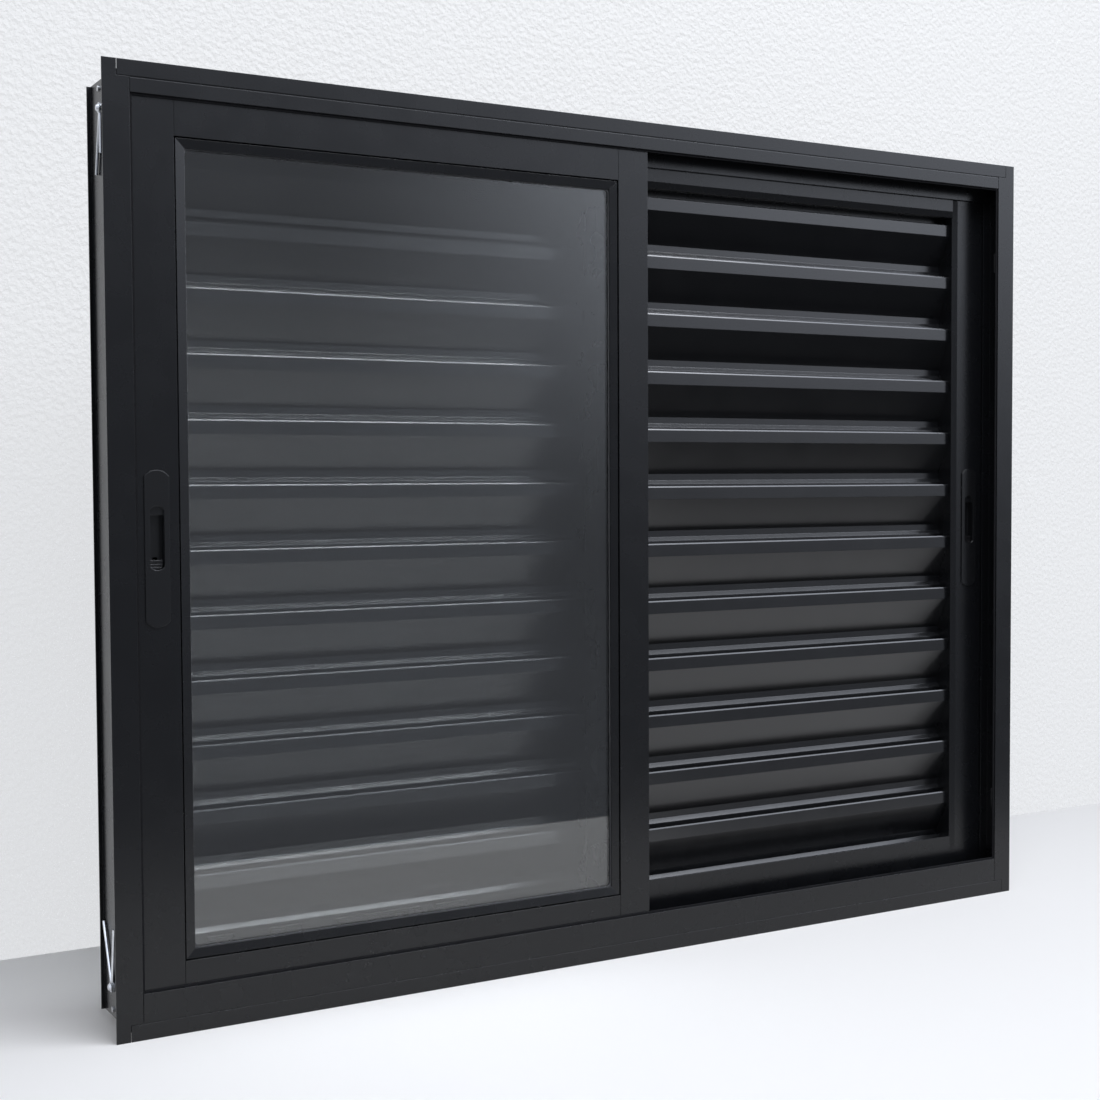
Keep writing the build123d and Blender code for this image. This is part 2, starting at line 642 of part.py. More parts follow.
def slat_section(z_lip):
    """One slat from the front lip down the sloping blade to the rear lip, the
    shoulder and the leg that hangs behind the next slat's lip."""
    t = SLAT_THICKNESS
    front = SLAT_SETBACK
    rear = SLAT_SETBACK + SLAT_DEPTH - t
    leg = leg_setback()
    blade_top = z_lip - LIP_HEIGHT
    rear_low = z_lip - SLAT_PITCH + REAR_LIP_RISE
    rear_high = rear_low + REAR_LIP_HEIGHT
    leg_high = rear_low - SHOULDER
    leg_low = z_lip - SLAT_PITCH - LEG_OVERLAP
    return [(front + LIP_CHAMFER, z_lip), (front + t, z_lip), (front + t, blade_top + t),
            (rear + t, rear_high + t), (rear + t, rear_low), (leg + t, leg_high), (leg + t, leg_low),
            (leg, leg_low), (leg, leg_high), (rear, rear_low), (rear, rear_high),
            (front, blade_top), (front, z_lip - 2 * LIP_CHAMFER)]


def slats(x0, x1, y_front, first_slat):
    pieces = []
    for number in range(SLAT_COUNT):
        section = slat_section(first_slat - number * SLAT_PITCH)
        pieces.append(along_x([(y_front + d, z) for d, z in section], x0, x1))
    return pieces


def louvre_sash(name, y, lock_edge, side, latched, first_slat):
    """A louvred sash. Its lock stile is at lock_edge and side points inwards."""
    depth, t = LOUVRE_SASH_DEPTH, SASH_WALL
    y_track = y + depth / 2
    meeting_edge = lock_edge + side * SASH_WIDTH
    lock_joint = lock_edge + side * LOUVRE_LOCK_STILE
    meeting_joint = meeting_edge - side * LOUVRE_MEETING_STILE
    z_ports = (SASH_TOP - GUIDE_CHANNEL - PORT_RADIUS, SASH_BOTTOM + ROLLER_CHANNEL + PORT_RADIUS)
    y_port = y + depth - t - SCREW_HEAD_RADIUS - RUNNING_GAP
    lock = stile(louvre_stile_loops(LOUVRE_LOCK_STILE), lock_edge, side, y, y_track)
    lock = stile_ports(lock, lock_joint, side, y_port, z_ports)
    if latched:
        lock = latch_cutouts(lock, lock_edge, side, y)
    meeting = stile(louvre_stile_loops(LOUVRE_MEETING_STILE), meeting_edge, -side, y, y_track)
    meeting = stile_ports(meeting, meeting_joint, -side, y_port, z_ports)
    x0, x1 = sorted((lock_joint, meeting_joint))
    rail_left, rail_right = x0 + SASH_JOINT, x1 - SASH_JOINT
    top = rail(louvre_top_loops(), SASH_TOP, -1, y, rail_left, rail_right)
    bottom = rail(louvre_bottom_loops(), SASH_BOTTOM, 1, y, rail_left, rail_right)
    screws = [stile_screw(lock_joint, side, y_port, z) for z in z_ports]
    screws += [stile_screw(meeting_joint, -side, y_port, z) for z in z_ports]
    save(f"{name}_lock_stile", lock)
    save(f"{name}_meeting_stile", meeting)
    save(f"{name}_top_rail", rail_port(top, rail_left, rail_right, y_port, z_ports[0]))
    save(f"{name}_bottom_rail", rail_port(bottom, rail_left, rail_right, y_port, z_ports[1]))
    save(f"{name}_slats", *slats(x0, x1, y, first_slat))
    save(f"{name}_sash_screws", *screws)


def packers():
    """Blocks that carry the fixed sash on the sill, over the unused rail."""
    y = TRACK_CENTRES[2]
    half = LOUVRE_SASH_DEPTH / 2 - SASH_WALL - RUNNING_GAP
    pieces = []
    for x in (LEFT_EDGE + PACKER_INSET, LEFT_EDGE + SASH_WIDTH - PACKER_INSET - PACKER_LENGTH):
        block = box(x, x + PACKER_LENGTH, y - half, y + half,
                    SILL_FLOOR, SASH_BOTTOM + ROLLER_CHANNEL)
        slot = RAIL_WIDTH / 2 + RUNNING_GAP
        pieces.append(block - box(x, x + PACKER_LENGTH, y - slot, y + slot,
                                  SILL_FLOOR, SILL_FLOOR + RAIL_HEIGHT + RUNNING_GAP))
    return pieces


# Rollers, guides and brushes

def roller_places(x0):
    return (x0 + CARRIER_INSET, x0 + SASH_WIDTH - CARRIER_INSET)


def carrier(x, y):
    """A roller housing under the bottom rail, open below for its wheel."""
    top = SASH_BOTTOM + ROLLER_CHANNEL
    half = CARRIER_WIDTH / 2
    pocket = WHEEL_WIDTH / 2 + RUNNING_GAP
    reach = WHEEL_RADIUS + WHEEL_FLANGE + RUNNING_GAP
    body = box(x - CARRIER_LENGTH / 2, x + CARRIER_LENGTH / 2, y - half, y + half,
               SASH_BOTTOM + CARRIER_FOOT, top)
    body -= box(x - reach, x + reach, y - pocket, y + pocket, SASH_BOTTOM, WHEEL_Z + reach)
    slot = RAIL_WIDTH / 2 + RUNNING_GAP
    body -= box(x - CARRIER_LENGTH, x + CARRIER_LENGTH, y - slot, y + slot,
                SASH_BOTTOM, SILL_FLOOR + RAIL_HEIGHT + 2 * RUNNING_GAP)
    return body - prism_y(x, y - half, y + half, WHEEL_Z, AXLE_RADIUS + AXLE_FIT, AXLE_SIDES)


def wheel(x, y):
    """A grooved wheel that runs on the rail of the sill."""
    half, groove = WHEEL_WIDTH / 2, WHEEL_GROOVE / 2
    body = prism_y(x, y - half, y + half, WHEEL_Z, WHEEL_RADIUS, WHEEL_SIDES)
    for side in (-1, 1):
        body += prism_y(x, y + side * groove, y + side * half, WHEEL_Z,
                        WHEEL_RADIUS + WHEEL_FLANGE, WHEEL_SIDES)
    return body - prism_y(x, y - half, y + half, WHEEL_Z, AXLE_RADIUS + AXLE_FIT, AXLE_SIDES)


def guides(x0, y, depth):
    """Nylon guides in the top channel that straddle the head's guide blade."""
    floor = SASH_TOP - GUIDE_CHANNEL
    y_mid = y + depth / 2
    slot = RAIL_WIDTH / 2 + RUNNING_GAP
    pieces = []
    for x in (x0 + GUIDE_INSET, x0 + SASH_WIDTH - GUIDE_INSET - GUIDE_LENGTH):
        block = box(x, x + GUIDE_LENGTH, y + SASH_WALL, y + depth - SASH_WALL, floor, SASH_TOP)
        pieces.append(block - box(x, x + GUIDE_LENGTH, y_mid - slot, y_mid + slot,
                                  HEAD_CEILING - GUIDE_BLADE - RUNNING_GAP, SASH_TOP))
    return pieces


def brushes(x0, y, depth, faces):
    """Brush strips on the faces of a sash where they run past the frame."""
    x1 = x0 + SASH_WIDTH
    pile = SIDE_CLEARANCE - RUNNING_GAP
    z_top, z_low = SASH_TOP - BRUSH_WIDTH, SASH_BOTTOM + BRUSH_WIDTH
    pieces = []
    for face in faces:
        y0 = y - pile if face == "front" else y + depth
        pieces.append(box(x0, x1, y0, y0 + pile, z_top - BRUSH_WIDTH, z_top))
        pieces.append(box(x0, x1, y0, y0 + pile, z_low, z_low + BRUSH_WIDTH))
    return pieces


def meeting_brushes(x0, y, depth):
    """Upright brushes on the louvred sash that close the gap to each leaf."""
    x = x0 + MEETING_BRUSH_INSET
    z0, z1 = FIN_BOTTOM + BRUSH_WIDTH, FIN_TOP - BRUSH_WIDTH
    front = box(x, x + BRUSH_WIDTH, GLASS_Y + GLASS_SASH_DEPTH + RUNNING_GAP, y, z0, z1)
    rear = box(x, x + BRUSH_WIDTH, y + depth, FIXED_Y - RUNNING_GAP, z0, z1)
    return [front, rear]


def running_gear(name, x0, y, depth):
    y_mid = y + depth / 2
    places = roller_places(x0)
    save(f"{name}_roller_carriers", *[carrier(x, y_mid) for x in places])
    axle = AXLE_LENGTH / 2
    save(f"{name}_roller_axles",
         *[prism_y(x, y_mid - axle, y_mid + axle, WHEEL_Z, AXLE_RADIUS, AXLE_SIDES) for x in places])
    for side, x in zip(("left", "right"), places):
        save(f"{name}_wheel_{side}", wheel(x, y_mid))
    save(f"{name}_guides", *guides(x0, y, depth))


# Flush pulls and latches

def pull_outline(width, length, arc, x, z):
    """An upright slot shape with shallow arcs at its ends, in the XZ plane."""
    half, end = width / 2, length / 2 - arc
    left, right = x - half, x + half
    sides = Line((left, 0, z - end), (left, 0, z + end))
    sides += ThreePointArc((left, 0, z + end), (x, 0, z + length / 2), (right, 0, z + end))
    sides += Line((right, 0, z + end), (right, 0, z - end))
    sides += ThreePointArc((right, 0, z - end), (x, 0, z - length / 2), (left, 0, z - end))
    return make_face(sides)


def latch_cutouts(body, x_outer, side, y):
    """Openings in a lock stile for the cup, and for the keeper's lug."""
    x = x_outer + side * PULL_CENTRE
    half = CUP_WIDTH / 2 + CUP_WALL + CUP_FIT
    reach = CUP_LENGTH / 2 + CUP_WALL + CUP_FIT
    body -= box(x - half, x + half, y - 1, y + SASH_WALL + 1, CUP_Z - reach, CUP_Z + reach)
    y0 = y + HOOK_SETBACK - 1
    return body - box(x_outer - side, x_outer + side * (SASH_WALL + 0.5),
                      y0, y0 + HOOK_THICKNESS + 2,
                      LUG_TIP_Z - 1, LUG_Z + LUG_THICKNESS + 1)


def pull_shell(x_outer, side, y):
    """The plate and cup of a flush pull, with a slot for the latch stem."""
    x = x_outer + side * PULL_CENTRE
    wide, long = CUP_WIDTH + 2 * CUP_WALL, CUP_LENGTH + 2 * CUP_WALL
    plate = along_y(pull_outline(PLATE_WIDTH, PLATE_LENGTH, PLATE_ARC, x, PULL_HEIGHT),
                    y - PLATE_THICKNESS, y)
    cup = along_y(pull_outline(wide, long, CUP_ARC, x, CUP_Z), y, y + CUP_DEPTH + CUP_WALL)
    hollow = along_y(pull_outline(CUP_WIDTH, CUP_LENGTH, CUP_ARC, x, CUP_Z),
                     y - PLATE_THICKNESS - 1, y + CUP_DEPTH)
    ledge = CUP_Z + CUP_LENGTH / 2 - CUP_LEDGE
    hollow -= box(x - wide, x + wide, y + LEDGE_DEPTH, y + CUP_DEPTH, ledge, CUP_Z + CUP_LENGTH)
    stem = STEM_WIDTH / 2 + SLIDER_FIT
    slot = box(x - stem, x + stem, y + CUP_DEPTH - 1, y + CUP_DEPTH + CUP_WALL + 1,
               SLIDER_Z - SLIDER_FIT, SLIDER_Z + STEM_HEIGHT + LATCH_TRAVEL + SLIDER_FIT)
    return plate + cup - hollow - slot


def latch_slider(x_outer, side, y):
    """The thumb slider in the cup, with two grip grooves and its stem."""
    x = x_outer + side * PULL_CENTRE
    half = CUP_WIDTH / 2 - SLIDER_FIT
    y_back = y + CUP_DEPTH - SLIDER_FIT
    inner = CUP_LENGTH - 2 * SLIDER_FIT
    outline = pull_outline(2 * half, inner, CUP_ARC, x, CUP_Z)
    low, high = CUP_Z - inner / 2, SLIDER_Z + SLIDER_HEIGHT
    body = along_y(outline, y_back - SLIDER_DEPTH, y_back)
    body &= box(x - half, x + half, y_back - SLIDER_DEPTH, y_back, low, high)
    for share in (0.35, 0.65):
        z = SLIDER_Z + share * SLIDER_HEIGHT
        body -= box(x - half, x + half, y_back - SLIDER_DEPTH, y_back - SLIDER_DEPTH + 1,
                    z - 0.6, z + 0.6)
    stem = STEM_WIDTH / 2
    return body + box(x - stem, x + stem, y_back, y + HOOK_SETBACK,
                      SLIDER_Z, SLIDER_Z + STEM_HEIGHT)


def latch_hook(x_outer, side, y):
    """The hook plate in the stile: a foot and a finger that rises behind the
    keeper's tip."""
    y0, y1 = y + HOOK_SETBACK, y + HOOK_SETBACK + HOOK_THICKNESS
    inner = x_outer + side * (PULL_CENTRE + STEM_WIDTH)
    tip = x_outer + side * HOOK_INSET
    foot = box(tip, inner, y0, y1, FOOT_Z, FOOT_Z + FOOT_HEIGHT)
    finger = box(tip, tip + side * FINGER_WIDTH, y0, y1, FOOT_Z, FINGER_Z)
    return foot + finger


def keeper_screw_heights():
    middle = (LUG_TIP_Z + LUG_Z) / 2
    reach = KEEPER_LENGTH / 2 - 2 * SCREW_HEAD_RADIUS
    return (middle - reach, middle + reach)


def keeper(x_outer, side, y):
    """The strike on the jamb web: a plate with a lug turned down at its tip."""
    web = x_outer - side * END_CLEARANCE
    face = web + side * KEEPER_THICKNESS
    y0, y1 = y + HOOK_SETBACK, y + HOOK_SETBACK + HOOK_THICKNESS
    middle = (LUG_TIP_Z + LUG_Z) / 2
    centre = (y0 + y1) / 2
    tip = x_outer + side * (HOOK_INSET + FINGER_WIDTH + LATCH_GAP)
    plate = box(web, face, centre - KEEPER_WIDTH / 2, centre + KEEPER_WIDTH / 2,
                middle - KEEPER_LENGTH / 2, middle + KEEPER_LENGTH / 2)
    lug = box(face, tip + side * LUG_TIP, y0, y1, LUG_Z, LUG_Z + LUG_THICKNESS)
    hook = box(tip, tip + side * LUG_TIP, y0, y1, LUG_TIP_Z, LUG_Z)
    body = plate + lug + hook
    for z in keeper_screw_heights():
        body -= prism_x(web, face, centre, z, PORT_BORE, HOLE_SIDES)
    return body


def keeper_screws(x_outer, side, y):
    face = x_outer - side * (END_CLEARANCE - KEEPER_THICKNESS)
    centre = y + HOOK_SETBACK + HOOK_THICKNESS / 2
    length = KEEPER_THICKNESS + WALL + 2 * SCREW_RADIUS
    return [screw(face, centre, z, length, -side, KEEPER_SCREW_HEAD)
            for z in keeper_screw_heights()]


def latch_set(name, x_outer, side, y):
    save(f"{name}_pull_shell", pull_shell(x_outer, side, y))
    save(f"{name}_latch_slider", latch_slider(x_outer, side, y))
    save(f"{name}_latch_hook", latch_hook(x_outer, side, y))
    save(f"{name}_keeper", keeper(x_outer, side, y))


def build_frame():
    keeper_middle = HOOK_SETBACK + HOOK_THICKNESS / 2
    save("frame_head", head())
    save("frame_sill", sill())
    save("frame_jamb_left", jamb_with_keeper_holes(GLASS_Y + keeper_middle))
    save("frame_jamb_right", mirrored(jamb_with_keeper_holes(LOUVRE_Y + keeper_middle)))
    save("frame_corner_screws", *corner_screws())
    save("frame_brush_seals", *frame_seals())
    save("jamb_buffers", *buffers())
    save("keeper_screws", *keeper_screws(LEFT_EDGE, 1, GLASS_Y),
         *keeper_screws(RIGHT_EDGE, -1, LOUVRE_Y))


def build_anchors():
    top = anchor(TOP_ANCHOR, TOP_ANCHOR_LEGS)
    bottom = anchor(BOTTOM_ANCHOR, BOTTOM_ANCHOR_LEGS)
    save("anchor_top_left", top)
    save("anchor_bottom_left", bottom)
    save("anchor_top_right", mirrored(top))
    save("anchor_bottom_right", mirrored(bottom))
    rivets = [rivet(TOP_ANCHOR), rivet(BOTTOM_ANCHOR)]
    save("anchor_rivets", *rivets, *[mirrored(piece) for piece in rivets])


def build():
    os.makedirs("parts", exist_ok=True)
    build_frame()
    build_anchors()
    glass_sash()
    glazing()
    running_gear("glass", LEFT_EDGE, GLASS_Y, GLASS_SASH_DEPTH)
    save("glass_brushes", *brushes(LEFT_EDGE, GLASS_Y, GLASS_SASH_DEPTH, ("rear",)))
    latch_set("glass", LEFT_EDGE, 1, GLASS_Y)
    louvre_sash("louvre", LOUVRE_Y, RIGHT_EDGE, -1, latched=True, first_slat=FIRST_SLAT)
    louvre_left = RIGHT_EDGE - SASH_WIDTH
    running_gear("louvre", louvre_left, LOUVRE_Y, LOUVRE_SASH_DEPTH)
    strips = brushes(louvre_left, LOUVRE_Y, LOUVRE_SASH_DEPTH, ("front", "rear"))
    strips += meeting_brushes(louvre_left, LOUVRE_Y, LOUVRE_SASH_DEPTH)
    save("louvre_brushes", *strips)
    latch_set("louvre", RIGHT_EDGE, -1, LOUVRE_Y)
    louvre_sash("fixed", FIXED_Y, LEFT_EDGE, 1, latched=False,
                first_slat=FIRST_SLAT + FIXED_SLAT_RISE)
    save("fixed_sash_packers", *packers())


build()
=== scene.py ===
from math import cos, radians, sin

import bpy
from mathutils import Matrix, Vector


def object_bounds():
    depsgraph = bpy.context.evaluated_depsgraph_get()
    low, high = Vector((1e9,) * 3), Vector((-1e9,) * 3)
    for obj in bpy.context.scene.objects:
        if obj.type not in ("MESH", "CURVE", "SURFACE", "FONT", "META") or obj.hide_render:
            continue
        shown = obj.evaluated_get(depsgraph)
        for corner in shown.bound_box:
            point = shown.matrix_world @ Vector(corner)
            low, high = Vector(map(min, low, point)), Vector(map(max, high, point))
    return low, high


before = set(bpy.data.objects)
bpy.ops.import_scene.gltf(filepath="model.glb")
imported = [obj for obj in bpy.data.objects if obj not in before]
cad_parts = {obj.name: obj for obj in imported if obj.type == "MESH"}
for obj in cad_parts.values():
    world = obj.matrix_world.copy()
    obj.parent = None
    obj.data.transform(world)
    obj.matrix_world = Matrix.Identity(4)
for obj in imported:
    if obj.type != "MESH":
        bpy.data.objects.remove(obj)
CAD_LOW, CAD_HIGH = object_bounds()

bl_info = {
    "name": "Louvred sliding window",
    "version": (1, 0, 0),
    "blender": (4, 5, 0),
    "location": "View3D > Sidebar > Window",
    "description": "Finishes and studio for a black louvred sliding window",
    "category": "Add Mesh",
}


class WindowFinish(bpy.types.PropertyGroup):
    """Colours and surface values of the window's finishes."""

    coat_colour: bpy.props.FloatVectorProperty(
        name="Coat colour", description="Colour of the satin black coat on the profiles",
        subtype="COLOR", size=3, min=0.0, max=1.0, default=(0.0042, 0.0045, 0.0054))
    slat_colour: bpy.props.FloatVectorProperty(
        name="Slat colour", description="Colour of the coat on the slats",
        subtype="COLOR", size=3, min=0.0, max=1.0, default=(0.0040, 0.0043, 0.0052))
    coat_roughness: bpy.props.FloatProperty(
        name="Coat roughness", description="How dull the coat on the profiles is",
        subtype="FACTOR", min=0.0, max=1.0, default=0.27)
    glass_tint: bpy.props.FloatVectorProperty(
        name="Glass tint", description="Tint of light that passes the pane",
        subtype="COLOR", size=3, min=0.0, max=1.0, default=(0.945, 0.968, 0.968))
    edge_radius: bpy.props.FloatProperty(
        name="Edge radius", description="Rounding that the finish shows along sharp edges",
        subtype="DISTANCE", unit="LENGTH", min=0.0, max=0.002, default=0.0006)


class WindowStudio(bpy.types.PropertyGroup):
    """Camera, floor and wall."""

    lens: bpy.props.FloatProperty(
        name="Focal length", description="Focal length on a 36 mm wide sensor",
        unit="CAMERA", min=10.0, max=200.0, default=36.0 * 1681.5 / 1100.0)
    camera_place: bpy.props.FloatVectorProperty(
        name="Camera place", description="Where the camera stands",
        subtype="TRANSLATION", unit="LENGTH", size=3, default=(-1.0871, -1.7399, 0.5756))
    camera_heading: bpy.props.FloatProperty(
        name="Heading", description="Turn of the camera to the right of straight on",
        subtype="ANGLE", unit="ROTATION", default=radians(29.984))
    camera_drop: bpy.props.FloatProperty(
        name="Drop", description="How far the camera looks down",
        subtype="ANGLE", unit="ROTATION", default=radians(2.40))
    camera_roll: bpy.props.FloatProperty(
        name="Roll", description="Roll of the camera about its line of sight",
        subtype="ANGLE", unit="ROTATION", default=radians(0.288))
    wall_distance: bpy.props.FloatProperty(
        name="Wall distance", description="From the window's back to the wall behind it",
        subtype="DISTANCE", unit="LENGTH", min=0.0, default=0.28)
    table_edge: bpy.props.FloatProperty(
        name="Table edge", description="Where the floor ends for reflections, along Y",
        subtype="DISTANCE", unit="LENGTH", default=-0.76)
    floor_colour: bpy.props.FloatVectorProperty(
        name="Floor colour", description="Colour of the floor",
        subtype="COLOR", size=3, min=0.0, max=1.0, default=(0.87, 0.865, 0.87))
    wall_colour: bpy.props.FloatVectorProperty(
        name="Wall colour", description="Colour of the rendered wall",
        subtype="COLOR", size=3, min=0.0, max=1.0, default=(0.80, 0.81, 0.83))


def node_graph(material):
    """The material's empty node tree with its output and a Principled shader."""
    material.use_nodes = True
    tree = material.node_tree
    tree.nodes.clear()
    output = tree.nodes.new("ShaderNodeOutputMaterial")
    shader = tree.nodes.new("ShaderNodeBsdfPrincipled")
    output.location, shader.location = (600, 0), (300, 0)
    tree.links.new(shader.outputs["BSDF"], output.inputs["Surface"])
    return tree, shader


def object_noise(tree, scale, detail=2.0, stretch=(1.0, 1.0, 1.0)):
    """Noise on the piece's own coordinates, stretched along its axes."""
    place = tree.nodes.new("ShaderNodeTexCoord")
    mapping = tree.nodes.new("ShaderNodeMapping")
    noise = tree.nodes.new("ShaderNodeTexNoise")
    mapping.inputs["Scale"].default_value = stretch
    noise.inputs["Scale"].default_value = scale
    noise.inputs["Detail"].default_value = detail
    tree.links.new(place.outputs["Object"], mapping.inputs["Vector"])
    tree.links.new(mapping.outputs["Vector"], noise.inputs["Vector"])
    return noise


def spread(tree, value, low, high):
    """The noise mapped from its middle range to low and high."""
    node = tree.nodes.new("ShaderNodeMapRange")
    node.inputs["From Min"].default_value = 0.3
    node.inputs["From Max"].default_value = 0.7
    node.inputs["To Min"].default_value = low
    node.inputs["To Max"].default_value = high
    tree.links.new(value, node.inputs["Value"])
    return node.outputs["Result"]


def tinted(tree, factor, low, high):
    """A colour between two, by a factor."""
    mix = tree.nodes.new("ShaderNodeMix")
    mix.data_type = "RGBA"
    mix.inputs["A"].default_value = (*low, 1.0)
    mix.inputs["B"].default_value = (*high, 1.0)
    tree.links.new(factor, mix.inputs["Factor"])
    return mix.outputs["Result"]


def coat(name, colour, roughness, edge,
         variation=0.10, grain=0.06, specular=0.32, grain_scale=1500.0):
    """Satin powder coat: fine orange peel, slow changes of tone, soft edges."""
    material = bpy.data.materials.new(name)
    tree, shader = node_graph(material)
    slow = object_noise(tree, 3.0, 3.0)
    low = tuple(c * (1 - variation) for c in colour)
    high = tuple(c * (1 + variation) for c in colour)
    tone = tinted(tree, spread(tree, slow.outputs["Fac"], 0.0, 1.0), low, high)
    tree.links.new(tone, shader.inputs["Base Color"])
    patches = object_noise(tree, 26.0, 4.0)
    dull = spread(tree, patches.outputs["Fac"], roughness * 0.93, roughness * 1.07)
    tree.links.new(dull, shader.inputs["Roughness"])
    shader.inputs["Specular IOR Level"].default_value = specular
    peel = object_noise(tree, grain_scale, 2.0)
    bump = tree.nodes.new("ShaderNodeBump")
    bump.inputs["Strength"].default_value = grain
    bump.inputs["Distance"].default_value = 0.0001
    rounded = tree.nodes.new("ShaderNodeBevel")
    rounded.samples = 4
    rounded.inputs["Radius"].default_value = edge
    tree.links.new(peel.outputs["Fac"], bump.inputs["Height"])
    tree.links.new(rounded.outputs["Normal"], bump.inputs["Normal"])
    tree.links.new(bump.outputs["Normal"], shader.inputs["Normal"])
    return material


def plastic(name, colour, roughness, grain_scale, grain, edge=0.0003):
    """Moulded plastic or rubber with a fine grain and slow changes of tone."""
    return coat(name, colour, roughness, edge,
                variation=0.14, grain=grain, specular=0.4, grain_scale=grain_scale)


def profile_coat(name, values):
    """The coat of the frame's and sashes' profiles, by the user's values."""
    return coat(name, tuple(values.coat_colour), values.coat_roughness, values.edge_radius)


def metal(name, colour, roughness, stretch):
    """Bare or plated metal with drawn lines along the piece."""
    material = bpy.data.materials.new(name)
    tree, shader = node_graph(material)
    shader.inputs["Metallic"].default_value = 1.0
    lines = object_noise(tree, 220.0, 3.0, stretch)
    blotch = object_noise(tree, 70.0, 4.0)
    low = tuple(c * 0.82 for c in colour)
    high = tuple(min(1.0, c * 1.12) for c in colour)
    tree.links.new(tinted(tree, spread(tree, blotch.outputs["Fac"], 0.0, 1.0), low, high),
                   shader.inputs["Base Color"])
    tree.links.new(spread(tree, lines.outputs["Fac"], roughness * 0.8, roughness * 1.25),
                   shader.inputs["Roughness"])
    bump = tree.nodes.new("ShaderNodeBump")
    bump.inputs["Strength"].default_value = 0.15
    bump.inputs["Distance"].default_value = 0.0001
    tree.links.new(lines.outputs["Fac"], bump.inputs["Height"])
    tree.links.new(bump.outputs["Normal"], shader.inputs["Normal"])
    return material


def pile(name, colour):
    """Brush pile: fine upright fibres."""
    material = bpy.data.materials.new(name)
    tree, shader = node_graph(material)
    fibres = object_noise(tree, 900.0, 2.0, (1.0, 0.08, 1.0))
    low = tuple(c * 0.5 for c in colour)
    high = tuple(c * 1.8 for c in colour)
    tree.links.new(tinted(tree, spread(tree, fibres.outputs["Fac"], 0.0, 1.0), low, high),
                   shader.inputs["Base Color"])
    shader.inputs["Roughness"].default_value = 0.95
    shader.inputs["Specular IOR Level"].default_value = 0.15
    bump = tree.nodes.new("ShaderNodeBump")
    bump.inputs["Strength"].default_value = 0.6
    bump.inputs["Distance"].default_value = 0.0003
    tree.links.new(fibres.outputs["Fac"], bump.inputs["Height"])
    tree.links.new(bump.outputs["Normal"], shader.inputs["Normal"])
    return material


# Above float glass's 1.52, for the grey veil over the pane, and the part of a lamp's light
# that the pane lets on to the slats behind it.
PANE_INDEX = 1.60
PANE_SHADOW = 0.92


def float_glass(name, tint):
    """Clear float glass with a faint ripple."""
    material = bpy.data.materials.new(name)
    tree, shader = node_graph(material)
    shader.inputs["Roughness"].default_value = 0.0
    shader.inputs["IOR"].default_value = PANE_INDEX
    shader.inputs["Transmission Weight"].default_value = 1.0
    slow = object_noise(tree, 1.6, 1.0)
    low = tuple(c * 0.985 for c in tint)
    tree.links.new(tinted(tree, spread(tree, slow.outputs["Fac"], 0.0, 1.0), low, tint),
                   shader.inputs["Base Color"])
    ripple = object_noise(tree, 3.5, 0.0)
    bump = tree.nodes.new("ShaderNodeBump")
    bump.inputs["Strength"].default_value = 0.02
    bump.inputs["Distance"].default_value = 0.0002
    tree.links.new(ripple.outputs["Fac"], bump.inputs["Height"])
    tree.links.new(bump.outputs["Normal"], shader.inputs["Normal"])
    pass_shadows(material, tint)
    return material


def see_through_where(material, factor, colour=(1.0, 1.0, 1.0)):
    """Make the surface clear by a factor."""
    tree = material.node_tree
    shader = next(node for node in tree.nodes if node.type == "BSDF_PRINCIPLED")
    output = next(node for node in tree.nodes if node.type == "OUTPUT_MATERIAL")
    clear = tree.nodes.new("ShaderNodeBsdfTransparent")
    clear.inputs["Color"].default_value = (*colour, 1.0)
    mix = tree.nodes.new("ShaderNodeMixShader")
    tree.links.new(factor, mix.inputs["Fac"])
    tree.links.new(shader.outputs["BSDF"], mix.inputs[1])
    tree.links.new(clear.outputs["BSDF"], mix.inputs[2])
    tree.links.new(mix.outputs["Shader"], output.inputs["Surface"])


def pass_shadows(material, tint):
    """Let lamps shine straight through the pane on to what is behind it."""
    light = material.node_tree.nodes.new("ShaderNodeLightPath")
    see_through_where(material, light.outputs["Is Shadow Ray"],
                      tuple(c * PANE_SHADOW for c in tint))


def give(material, *names):
    """Put a finish on CAD nodes."""
    for name in names:
        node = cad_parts[name]
        node.data.materials.clear()
        node.data.materials.append(material)


class WINDOW_OT_frame_finish(bpy.types.Operator):
    """Coat the outer frame, its seals, stops and screws"""

    bl_idname = "louvred_window.frame_finish"
    bl_label = "Frame finish"

    def execute(self, context):
        values = context.scene.window_finish
        body = profile_coat("frame_coat", values)
        give(body, "frame_head", "frame_sill", "frame_jamb_left", "frame_jamb_right")
        give(pile("frame_pile", (0.006, 0.006, 0.007)), "frame_brush_seals")
        give(plastic("buffer_rubber", (0.014, 0.014, 0.015), 0.7, 700.0, 0.4), "jamb_buffers")
        give(plastic("packer_nylon", (0.05, 0.05, 0.052), 0.5, 500.0, 0.3), "fixed_sash_packers")
        steel = metal("screw_steel", (0.52, 0.53, 0.55), 0.32, (1.0, 6.0, 6.0))
        give(steel, "frame_corner_screws", "keeper_screws", "glass_keeper", "louvre_keeper",
             "fixed_sash_screws", "glass_sash_screws", "louvre_sash_screws")
        zinc = metal("anchor_zinc", (0.62, 0.64, 0.67), 0.30, (1.0, 1.0, 0.1))
        give(zinc, "anchor_rivets", "anchor_top_left", "anchor_top_right",
             "anchor_bottom_left", "anchor_bottom_right")
        return {"FINISHED"}


